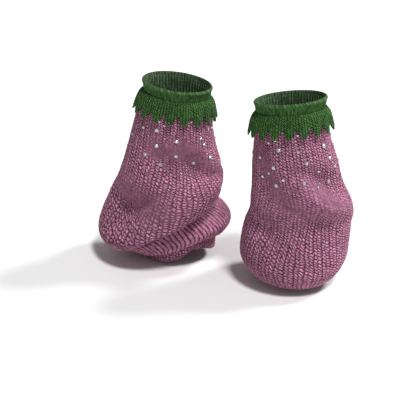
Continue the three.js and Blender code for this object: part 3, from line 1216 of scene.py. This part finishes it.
@dataclass
class CrystalScatter:
    """The crystals sewn to one pink tube, as one joined mesh."""

    shape: LegShape
    radius: float = 2.6
    unevenness: float = 0.1
    sides: int = 8
    stand_off: float = 0.8
    rows_down: tuple[float, ...] = (46.0, 62.0, 78.0, 94.0)
    step: float = 30.0

    def places(self) -> tuple[Array, Array, Array]:
        """Angles, lengths down and sizes of all the crystals.

        The ones that show come from the table. On the hidden side they go on as a staggered
        lattice, each moved a little by chance.

        Returns:
            Radians round the leg, millimetres of cloth below the top edge of the pink tube, and the
            share of the full size.
        """
        start, end = self.shape.hidden_side
        random = np.random.default_rng(5 + len(self.shape.knit))
        at = [crystal.at for crystal in self.shape.crystals]
        down = [crystal.down for crystal in self.shape.crystals]
        size = [crystal.size for crystal in self.shape.crystals]
        for n, level in enumerate(self.rows_down):
            row = np.arange(start + (n % 2) * self.step / 2, end, self.step)
            at += list(row + random.uniform(-6, 6, len(row)))
            down += list(level + random.uniform(-4, 4, len(row)))
            size += list(random.uniform(0.7, 1.1, len(row)))
        return np.radians(at), np.array(down) - KNIT_TOP, np.array(size)

    def stone(self) -> tuple[Array, list[tuple[int, ...]]]:
        """One faceted stone, flat side down, about its own origin.

        Three rings of corners: the back, the girdle just above it and the table on top, turned by
        half a side, with triangles between the girdle and the table.

        Returns:
            Its points in millimetres, and its faces.
        """
        rings_of = ((1.0, 0.0, 0.0), (1.0, 0.5, 0.0), (0.62, 1.55, 0.5))
        points = []
        for spread, height, turn in rings_of:
            angle = 2 * math.pi * (np.arange(self.sides) + turn) / self.sides
            ring = np.stack([np.cos(angle), np.sin(angle)], axis=1) * self.radius * spread
            points.append(np.column_stack([ring, np.full(self.sides, height)]))
        n = self.sides
        faces: list[tuple[int, ...]] = [tuple(range(n - 1, -1, -1)), tuple(range(2 * n, 3 * n))]
        for k in range(n):
            after = (k + 1) % n
            faces.append((k, after, n + after, n + k))
            faces.append((n + k, n + after, 2 * n + k))
            faces.append((n + after, 2 * n + after, 2 * n + k))
        return np.concatenate(points), faces

    def build(self, finish: bpy.types.Material) -> bpy.types.Object:
        """Sets a stone on the cloth at each place, square to it."""
        surface = KnitTube(self.shape).surface()
        ruler = ClothRuler(surface)
        angle, down, size = self.places()
        row = ruler.row_at(down)
        small = 0.01
        here = surface.points(angle, row)
        side = unit(surface.points(angle + small, row) - here)
        fall = unit(surface.points(angle, row + small) - here)
        normal = unit(np.cross(fall, side))
        up = np.cross(normal, side)
        stone, faces = self.stone()
        axes = np.stack([side, up, normal], axis=1)
        base = here + normal * self.stand_off + self.shape.side.shift
        random = np.random.default_rng(7 + len(self.shape.knit))
        uneven = random.uniform(1 - self.unevenness, 1 + self.unevenness, (len(base), 1, 3))
        stones = stone[None, :, :] * uneven * size[:, None, None]
        points = base[:, None, :] + np.einsum("npk,nkc->npc", stones, axes)
        every = [tuple(corner + n * len(stone) for corner in face) for n in range(len(base)) for face in faces]
        mesh = bpy.data.meshes.new(f"{self.shape.side.label}_crystals")
        mesh.from_pydata(points.reshape(-1, 3) * MM, [], every)
        mesh.update()
        piece = bpy.data.objects.new(mesh.name, mesh)
        bpy.context.scene.collection.objects.link(piece)
        settle(piece, "", finish)
        return piece


@dataclass(frozen=True)
class CrystalFinish:
    """Clear cut glass with a silvered back."""

    name: str = "crystal"
    colour: tuple[float, float, float, float] = paint(150, 156, 158)

    def material(self) -> bpy.types.Material:
        """A bright, half metallic gloss with faint cloudiness from stone to stone."""
        board = NodeBoard(self.name)
        cloud = board.noise(160.0, 1.0)
        colour = board.mixed(cloud, self.colour, paint(214, 220, 222))
        shader = board.add("ShaderNodeBsdfPrincipled", {}, {
            "Base Color": colour, "Metallic": 0.35 + cloud * 0.3, "Roughness": 0.16 + cloud * 0.1,
            "Coat Weight": 0.4, "Coat Roughness": 0.08})
        return board.finish(shader)


@dataclass
class LegWarmer:
    """One leg warmer with all its pieces."""

    shape: LegShape

    def build(self, finishes: dict[str, bpy.types.Material]) -> None:
        """Builds the pieces and logs the flat cut of each one's cloth.

        Args:
            finishes: the materials by name.
        """
        tube = KnitTube(self.shape)
        band = TopBand(self.shape)
        frill = LeafFrill(self.shape)
        tube_cloth = tube.build(finishes["pink"])
        band_cloth = band.build(finishes["rib"])
        frill_cloth = frill.build(finishes["green"])
        stones = CrystalScatter(self.shape).build(finishes["crystal"])
        for name, piece in (("tube", tube), ("band", band), ("frill", frill)):
            LOG.info("%s %s cut %s", self.shape.side.label, name, piece.cut)


@dataclass
class Studio:
    """A plain pale floor, soft light and the camera."""

    camera_place: tuple[float, float, float] = (0.69298, -1.29874, 0.4270)
    camera_turn: float = 0.461
    camera_dip: float = 0.392
    lens: float = 99.246
    sky: float = 0.26

    def build(self) -> None:
        """Sets up everything round the pair."""
        self.lay_floor()
        self.hang_lights()
        self.place_camera()
        scene = bpy.context.scene
        scene.view_settings.view_transform = "Standard"
        scene.view_settings.look = "None"

    def lay_floor(self) -> None:
        """A wide pale floor at the height of the ground that the wearer stands on."""
        half = 12.0
        mesh = bpy.data.meshes.new("floor")
        corners = [(-half, -half, -FLOOR_DROP), (half, -half, -FLOOR_DROP),
                   (half, half, -FLOOR_DROP), (-half, half, -FLOOR_DROP)]
        mesh.from_pydata(corners, [], [(0, 1, 2, 3)])
        floor = bpy.data.objects.new("floor", mesh)
        bpy.context.scene.collection.objects.link(floor)
        board = NodeBoard("pale_floor")
        shader = board.add("ShaderNodeBsdfPrincipled", {}, {
            "Base Color": paint(240, 240, 240), "Roughness": 0.9, "Specular IOR Level": 0.1})
        mesh.materials.append(board.finish(shader))

    def hang_lights(self) -> None:
        """A soft key from high on the right, a light from the right and behind, and a pale sky."""
        for name, turn, rise, spread, strength in (
                ("key", 60.0, 62.0, 12.0, 2.5),
                ("side", 138.0, 45.0, 14.0, 2.4)):
            light = bpy.data.lights.new(name, "SUN")
            light.angle = math.radians(spread)
            light.energy = strength
            lamp = bpy.data.objects.new(name, light)
            lamp.rotation_euler = (math.radians(90 - rise), 0.0, math.radians(turn))
            lamp.location = (0.0, 0.0, 1.0)
            bpy.context.scene.collection.objects.link(lamp)
        world = bpy.data.worlds.new("studio")
        world.use_nodes = True
        sky = world.node_tree.nodes["Background"]
        sky.inputs[0].default_value = (1.0, 1.0, 1.0, 1.0)
        sky.inputs[1].default_value = self.sky
        bpy.context.scene.world = world

    def place_camera(self) -> None:
        """The camera, level, looking down at the pair from the photograph's own place."""
        lens = bpy.data.cameras.new("camera")
        lens.lens = self.lens
        lens.sensor_width = 36.0
        lens.clip_end = 50.0
        camera = bpy.data.objects.new("camera", lens)
        camera.location = self.camera_place
        camera.rotation_euler = (math.pi / 2 - self.camera_dip, 0.0, self.camera_turn)
        bpy.context.scene.collection.objects.link(camera)
        bpy.context.scene.camera = camera


def make_finishes() -> dict[str, bpy.types.Material]:
    """All the materials of the pair, by a short name."""
    pink = NodeBoard(PINK_YARN.name)
    green = NodeBoard(GREEN_YARN.name)
    rib = NodeBoard(GREEN_RIB.name)
    return {
        "pink": PINK_YARN.material(pink, *stitch_nodes(pink, KNIT_STITCH)),
        "green": GREEN_YARN.material(green, *stitch_nodes(green, FRILL_STITCH)),
        "rib": GREEN_RIB.material(rib, *stitch_nodes(rib, BAND_STITCH, inside_out=True)),
        "crystal": CrystalFinish().material(),
    }


def main() -> None:
    """Builds both leg warmers and the studio round them."""
    logging.basicConfig(level=logging.INFO, format="%(name)s: %(message)s")
    finishes = make_finishes()
    for shape in (RIGHT_SHAPE, LEFT_SHAPE):
        LegWarmer(shape).build(finishes)
    Studio().build()


if __name__ == "__main__":
    main()
